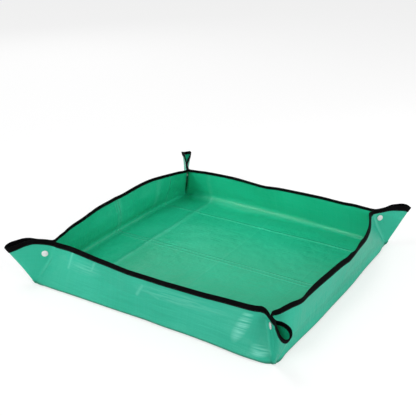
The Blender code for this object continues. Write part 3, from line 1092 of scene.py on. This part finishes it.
def painted_sheen_patches(tree, place):
    """Each painted sheen patch's strength in its middle, fading to nothing at its edge."""
    patches = []
    for x, y, half_width, half_height, turn, strength in PAINTED_SHEEN_PATCHES:
        oval = {
            "Location": (x, y, 0), "Rotation": (0, 0, math.radians(turn)),
            "Scale": (half_width, half_height, 1),
        }
        within = node(tree, "Mapping", {"Vector": place, **oval}, vector_type="TEXTURE")
        length = vector_node(tree, "LENGTH", {0: within}, "Value")
        patches.append(ranged(length, 1.0, SHEEN_PATCH_MIDDLE_SHARE, 0.0, strength))
    return largest(patches)


def crease_share(axes):
    """Where the painted shade lies: one along the floor's creases, fading to nothing beside them."""
    outer = largest([absolute(axes[k]) for k in (0, 1)])
    off = sum_node("SUBTRACT", outer, FLOOR_SIDE / 2 + CREASE_SHADE_OFFSET)
    return ranged(absolute(off), CREASE_SHADE_WIDTH, 0.0)


def woven_relief(tree, place, axes):
    """The height of crossing tapes, each rounded across its width."""
    ridges = []
    for axis in (0, 1):
        turns = times(axes[axis], math.pi / WEAVE_PITCH)
        ridges.append(absolute(sum_node("SINE", turns)))
    checker = node(tree, "TexChecker", {"Vector": place, "Scale": 1 / WEAVE_PITCH}, "Fac")
    return node(tree, "Mix", {0: checker, 2: ridges[0], 3: ridges[1]})


def make_woven(name, colour, pale, specular, fold_share, crease_shade, crinkle_stretch=(1, 1, 1)):
    """Coated weave of flat tapes, with streaks along the tapes and pale storage folds."""
    material, tree, shader = make_material(name)
    place, axes = flat_pattern(tree)
    warp, weft = [noise_node(place, *TAPE_NOISE, stretch) for stretch in TAPE_STRETCHES]
    streaks = weighed(0.5, warp, weft)
    mottle = weighed(STREAK_SHARE, streaks, noise_node(place, *CLOUD_NOISE))
    wear = ranged(noise_node(place, *WEAR_NOISE), *WEAR_RANGE)
    folds = times(storage_folds(axes), fold_share)
    marks = crease_marks(tree, place)
    lines = noise_node(place, *LINE_NOISE)
    # Painted highlights: the sheen patches, broken into fine lines
    sheen_highlights = times(painted_sheen_patches(tree, place), ranged(lines, *LINE_RANGE))
    # Paler along worn storage folds, and with painted highlights along crease marks and in sheen patches
    pales = [
        times(folds, wear), times(marks, MARK_HIGHLIGHT_PALENESS), sheen_highlights,
    ]
    greens = mix_colours(ranged(mottle, *NOISE_RANGE), colour, pale)
    worn_and_sheen = mix_colours(largest(pales), greens, WORN_AND_SHEEN_GREEN)
    # Painted shade along the outside of the floor's creases
    painted_shade = times(crease_share(axes), crease_shade)
    soft = bump(noise_node(place, *CRUMPLE_NOISE), *CRUMPLE_BUMP)
    faint = times(marks, MARK_DEPTH)
    pressed = bump(largest([folds, faint]), *FOLD_BUMP, soft)
    lined = bump(lines, *LINE_BUMP, pressed)
    fine = bump(noise_node(place, *CRINKLE_NOISE, crinkle_stretch), *CRINKLE_BUMP, lined)
    feed(shader, {
        "Base Color": mix_colours(painted_shade, worn_and_sheen, PAINTED_SHADE_GREEN),
        "Specular IOR Level": specular,
        "Roughness": ranged(mottle, *NOISE_RANGE, *WOVEN_ROUGHNESS),
        "Normal": bump(woven_relief(tree, place, axes), *WEAVE_BUMP, fine),
    })
    return material


def make_binding():
    """Matt black tape with a fine rib, greyer where it is rubbed."""
    material, tree, shader = make_material("binding_tape")
    place, axes = flat_pattern(tree)
    slant = sum_node("ADD", axes[0], axes[1])
    turns = times(slant, math.pi / RIB_PITCH)
    rib = absolute(sum_node("SINE", turns))
    lint = noise_node(place, *LINT_NOISE)
    rubbed = ranged(noise_node(place, *RUB_NOISE), *RUB_RANGE)
    tone = times(ranged(lint, *LINT_RANGE), rubbed)
    coarse = bump(noise_node(place, *COARSE_NOISE), *COARSE_BUMP)
    feed(shader, {
        "Base Color": mix_colours(tone, BINDING_BLACK, BINDING_DUSTY),
        "Roughness": ranged(lint, *NOISE_RANGE, *BINDING_ROUGHNESS),
        "Specular IOR Level": BINDING_SPECULAR,
        "Normal": bump(rib, *RIB_BUMP, coarse),
    })
    return material


def make_thread():
    """Twisted sewing thread."""
    material, tree, shader = make_material("sewing_thread")
    place, _ = flat_pattern(tree)
    twist = noise_node(place, *TWIST_NOISE)
    feed(shader, {
        "Base Color": mix_colours(twist, THREAD_BLACK, BINDING_DUSTY),
        "Roughness": THREAD_ROUGHNESS,
        "Normal": bump(twist, *TWIST_BUMP),
    })
    return material


def make_snap():
    """Moulded white plastic, a little uneven and dulled."""
    material, tree, shader = make_material("snap_white")
    place = node(tree, "TexCoord", {}, "Object")
    cloud = noise_node(place, *DULL_NOISE)
    feed(shader, {
        "Base Color": mix_colours(ranged(cloud, *DULL_RANGE), SNAP_WHITE, SNAP_SHADE),
        "Roughness": ranged(cloud, *NOISE_RANGE, *SNAP_ROUGHNESS),
        "Normal": bump(noise_node(place, *GRAIN_NOISE), *GRAIN_BUMP),
        "Subsurface Weight": SNAP_SUBSURFACE,
        "Subsurface Radius": SNAP_SCATTER,
    })
    return material


# Pieces

def ride_and_flatten(pieces, body, frame):
    """Pieces ride on a body, each with its own copy of its mesh. The frame is not used."""
    for piece in pieces:
        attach(piece, body)
        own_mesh(piece)


def add_floor():
    def place(s, t):
        return floor_point(2 * s - 1, 2 * t - 1)

    piece = add_sheet(grid_mesh("floor_sheet", *FLOOR_GRID, place), UP)
    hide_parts("floor_panel")
    ride_and_flatten([piece], "floor", Matrix.Translation((0, 0, SHEET_THICKNESS / 2)))


def add_floor_bend(side, turn):
    """The soft bend between the floor and a wall."""
    crease, wall = side_frame(turn), wall_frame(turn)

    def place(s, t):
        x = (2 * s - 1) * CREASE_START
        out, up = arc_point(floor_bend_half(side, x), t * WALL_FOLD, WALL_FOLD)
        return bowed(crease @ Vector((x, out, up)))

    def flat(s, t):
        x = (2 * s - 1) * CREASE_START
        return flat_place(turn, x, (2 * t - 1) * floor_bend_half(side, x))

    mesh = grid_mesh(side + "_floor_bend", *BEND_GRID, place, flat)
    piece = add_sheet(mesh, crease.to_3x3() @ Vector((0, -1, 1)))
    if side in BENDS_THAT_ROLL:
        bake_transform(piece)
    else:
        ride_and_flatten([piece], side + "_wall", wall)


def add_wall(side, turn, plus, minus):
    """A wall's panel between its bends, with its stretch of binding."""
    frame = wall_frame(turn)
    inside = frame.to_3x3() @ UP

    def surface(s, inset):
        point = frame @ wall_point(side, 2 * s - 1, 1 - inset / WALL_HEIGHT)
        return bowed(pinched(point, side, plus if s > 0.5 else minus))

    def up_at(s, t):
        foot = 0.0
        for _ in range(SETTLING_ROUNDS):
            foot = floor_bend_half(side, (2 * s - 1) * wall_half_length(foot)) / WALL_HEIGHT
        return foot + t * (1 - foot)

    def place(s, t):
        return surface(s, (1 - up_at(s, t)) * WALL_HEIGHT)

    def flat(s, t):
        up = up_at(s, t)
        return flat_place(turn, (2 * s - 1) * wall_half_length(up), up * WALL_HEIGHT)

    wall = side + "_wall"
    piece = add_sheet(grid_mesh(wall + "_sheet", *WALL_GRID, place, flat), inside)
    tape, thread = add_band(wall + "_tape", surface, inside)
    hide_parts(wall)
    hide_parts(wall + "_binding")
    ride_and_flatten((piece, tape, thread), wall, frame)


def add_ear_bend(side, turn, end, corner):
    """The soft bend between a wall and half of an ear, with its stretch of binding."""
    wall = wall_frame(turn)
    inside = wall.to_3x3() @ UP
    frame = wall @ Matrix.Diagonal((end, 1, 1, 1))

    def surface(s, inset):
        return shaped(frame @ ear_bend_point(s, inset), side, corner)

    def place(s, t):
        return surface(s, (1 - t) * WALL_HEIGHT)

    def flat(s, t):
        height = t * WALL_HEIGHT
        half = ear_bend_half(height / TILT_COS)
        x = CREASE_START - height * TILT_TAN + (2 * s - 1) * half
        return flat_place(turn, end * x, height)

    ear = f"{corner}_ear_{side}"
    piece = add_sheet(grid_mesh(ear + "_bend", *EAR_BEND_GRID, place, flat), inside)
    tape, thread = add_band(ear + "_bend_tape", surface, inside, BEND_STEPS_PER_STITCH)
    start, stop = surface(0, WALL_HEIGHT / 2), surface(1, WALL_HEIGHT / 2)
    for item in (piece, tape, thread):
        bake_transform(item)


def add_vertex(side, turn, end, corner):
    """The fold's vertex: the sheet runs on from the floor's corner into the foot of the ear."""
    panel = ear_panel(turn, end)
    outwards = DIAGONALS[corner]

    def place(s, t):
        inwards = max(1 - 2 * s, 0)
        half = VERTEX_HALF_WIDTH + VERTEX_SPREAD * inwards
        if s < 0.5:
            point = bowed(outwards * (FLOOR_SIDE / math.sqrt(2) - VERTEX_INWARD * inwards))
        else:
            inset = (1 - VERTEX_RISE_SHARE * (2 * s - 1)) * ear_depth(corner, 1)
            ridge = panel @ ear_point(corner, 1, inset)
            point = shaped(outwards * ridge.dot(outwards) + ridge.z * UP, side, corner)
        return point + (2 * t - 1) * half * SIDEWAYS[corner]

    piece = add_sheet(grid_mesh(corner + "_vertex", *VERTEX_GRID, place), UP)
    ride_and_flatten([piece], "floor", Matrix())


def add_ear(side, turn, end, corner):
    """Half of an ear with its stretch of binding. Its inside has painted light: a paler green, for light
    that comes through the sheet.
    """
    frame, panel = ear_frame(turn, end), ear_panel(turn, end)
    inside = frame.to_3x3() @ UP

    def surface(s, inset):
        return shaped(panel @ ear_point(corner, s, inset), side, corner)

    def place(s, t):
        return surface(s, (1 - t) * ear_depth(corner, s))

    def flat(s, t):
        point = ear_point(corner, s, (1 - t) * ear_depth(corner, s))
        return flat_place(turn, end * point.x, point.y)

    ear = f"{corner}_ear_{side}"
    piece = add_sheet(grid_mesh(ear + "_sheet", *EAR_GRID, place, flat), inside, painted_light_ear_green)
    tape, thread = add_band(ear + "_tape", surface, inside, widest=BAND_EAR_WIDTHS[corner])
    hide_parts(ear)
    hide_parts(ear + "_binding")
    ride_and_flatten((piece, tape, thread), ear, frame)


def cap_profile(base):
    """Domed cap, and its prong pressed flat beyond a base of that thickness."""
    head = FACE + FIT_GAP + base
    prong = [
        (0, head + PRONG_HEAD_THICKNESS),
        (PRONG_HEAD_RADIUS * PRONG_FLAT_SHARE, head + PRONG_HEAD_THICKNESS),
        (PRONG_HEAD_RADIUS, head + PRONG_HEAD_THICKNESS / 2),
        (PRONG_HEAD_RADIUS, head),
        (PRONG_RADIUS, head),
        (PRONG_RADIUS, -FACE),
    ]
    return prong + [(CAP_RADIUS * share, -FACE - height) for share, height in CAP_DOME]


def add_snap(side, turn, end, corner, half):
    """The cap outside an ear's layer. Its socket or stud is the frame's own, refinished."""
    along = WALL_HEIGHT - SNAP_BELOW_RIM
    across = SNAP_FROM_CREASE / TILT_COS - along * TILT_TAN
    snap = f"{corner}_snap_{half}"
    cap = add_object(turned_mesh(snap + "_dome", cap_profile(SNAP_BASES[half])), snap_white)
    cap.matrix_world = ear_frame(turn, end) @ Matrix.Translation((end * across, along, 0))
    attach(cap, f"{corner}_ear_{side}")
    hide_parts(snap + "_cap")
    frame["nodes"][snap].material_slots[0].material = snap_white


# Stage

def seen_and_lit(tree, seen, lit, output):
    """Shows the camera one surface, and lights the mat with another."""
    camera_ray = node(tree, "LightPath", {}, "Is Camera Ray")
    feed(tree.nodes[output], {"Surface": node(tree, "MixShader", {0: camera_ray, 1: lit, 2: seen})})


def add_ground():
    """A ground that is seen white where nothing shades it, and lights the mat as paper would."""
    bpy.ops.mesh.primitive_plane_add(size=GROUND_SIDE, location=(0, 0, GROUND_HEIGHT))
    ground = bpy.context.object
    ground.name = "ground"
    material, tree, shader = make_material("ground_white")
    feed(shader, {"Base Color": GROUND_PAPER, "Roughness": 1.0, "Specular IOR Level": 0.0})
    shade = node(tree, "BsdfDiffuse", {"Color": GROUND_SHADED})
    glow = node(tree, "Emission", {"Color": WHITE, "Strength": GROUND_GLOW})
    seen = node(tree, "AddShader", {0: shade, 1: glow})
    seen_and_lit(tree, seen, shader.outputs[0], "Material Output")
    ground.data.materials.append(material)


def add_world():
    """An even pale room, which is seen paler than it lights."""
    world = bpy.data.worlds.new("studio")
    bpy.context.scene.world = world
    world.use_nodes = True
    room = world.node_tree.nodes["Background"]
    feed(room, {"Color": WHITE, "Strength": ROOM_LIGHT})
    seen = node(world.node_tree, "Background", {"Strength": 1.0})
    seen_and_lit(world.node_tree, seen, room.outputs[0], "World Output")


def stand(name, data, place, aim):
    """Puts a lamp or camera at a place, turned towards its aim."""
    item = bpy.data.objects.new(name, data)
    bpy.context.scene.collection.objects.link(item)
    item.location = place
    item.rotation_mode = "QUATERNION"
    item.rotation_quaternion = (Vector(aim) - Vector(place)).to_track_quat("-Z", "Y")
    return item


def add_softbox(name, place, size, power, aim=(0, 0, 0), spread=180):
    lamp = bpy.data.lights.new(name, "AREA")
    lamp.shape = "DISK"
    lamp.size = size
    lamp.energy = power
    lamp.spread = math.radians(spread)
    stand(name, lamp, place, aim)


def add_camera():
    lens = bpy.data.cameras.new("view")
    back = Vector((
        math.sin(CAMERA_AZIMUTH) * math.cos(CAMERA_ELEVATION),
        -math.cos(CAMERA_AZIMUTH) * math.cos(CAMERA_ELEVATION),
        math.sin(CAMERA_ELEVATION),
    ))
    lens.sensor_width = SENSOR_WIDTH
    lens.lens = CAMERA_FOCAL_PIXELS / IMAGE_PIXELS * SENSOR_WIDTH
    lens.shift_x = CAMERA_SHIFT_PIXELS[0] / IMAGE_PIXELS
    lens.shift_y = CAMERA_SHIFT_PIXELS[1] / IMAGE_PIXELS
    bpy.context.scene.camera = stand("view", lens, back * CAMERA_DISTANCE, (0, 0, 0))


for item in list(bpy.data.objects):
    bpy.data.objects.remove(item, do_unlink=True)
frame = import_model()
inner_green = make_woven(
    "woven_inside", INSIDE_GREEN, INSIDE_GREEN_PALE, specular=0.40, fold_share=1.0, crease_shade=0.0,
)
painted_light_ear_green = make_woven(
    "woven_ear_inside_painted_light", PAINTED_LIGHT_EAR_GREEN, PAINTED_LIGHT_EAR_GREEN_PALE, specular=0.20, fold_share=0.0, crease_shade=0.0,
)
# The outer face's paler green carries painted sheen
outer_green = make_woven(
    "woven_outside", PAINTED_SHEEN_OUTSIDE_GREEN, PAINTED_SHEEN_OUTSIDE_GREEN_PALE, specular=0.28, fold_share=0.2,
    crease_shade=0.8, crinkle_stretch=(0.35, 1.6, 1),
)
black = make_binding()
thread_black = make_thread()
snap_white = make_snap()
add_camera()
add_floor()
for side, turn, plus, minus in SIDES:
    add_floor_bend(side, turn)
    add_wall(side, turn, plus, minus)
    for end, corner, half in ((1, plus, "stud"), (-1, minus, "socket")):
        add_ear_bend(side, turn, end, corner)
        add_ear(side, turn, end, corner)
        add_snap(side, turn, end, corner, half)
    add_vertex(side, turn, 1, plus)
add_ground()
add_world()
for name, settings in SOFTBOXES.items():
    add_softbox(name, *settings)
bpy.context.scene.view_settings.view_transform = "Standard"
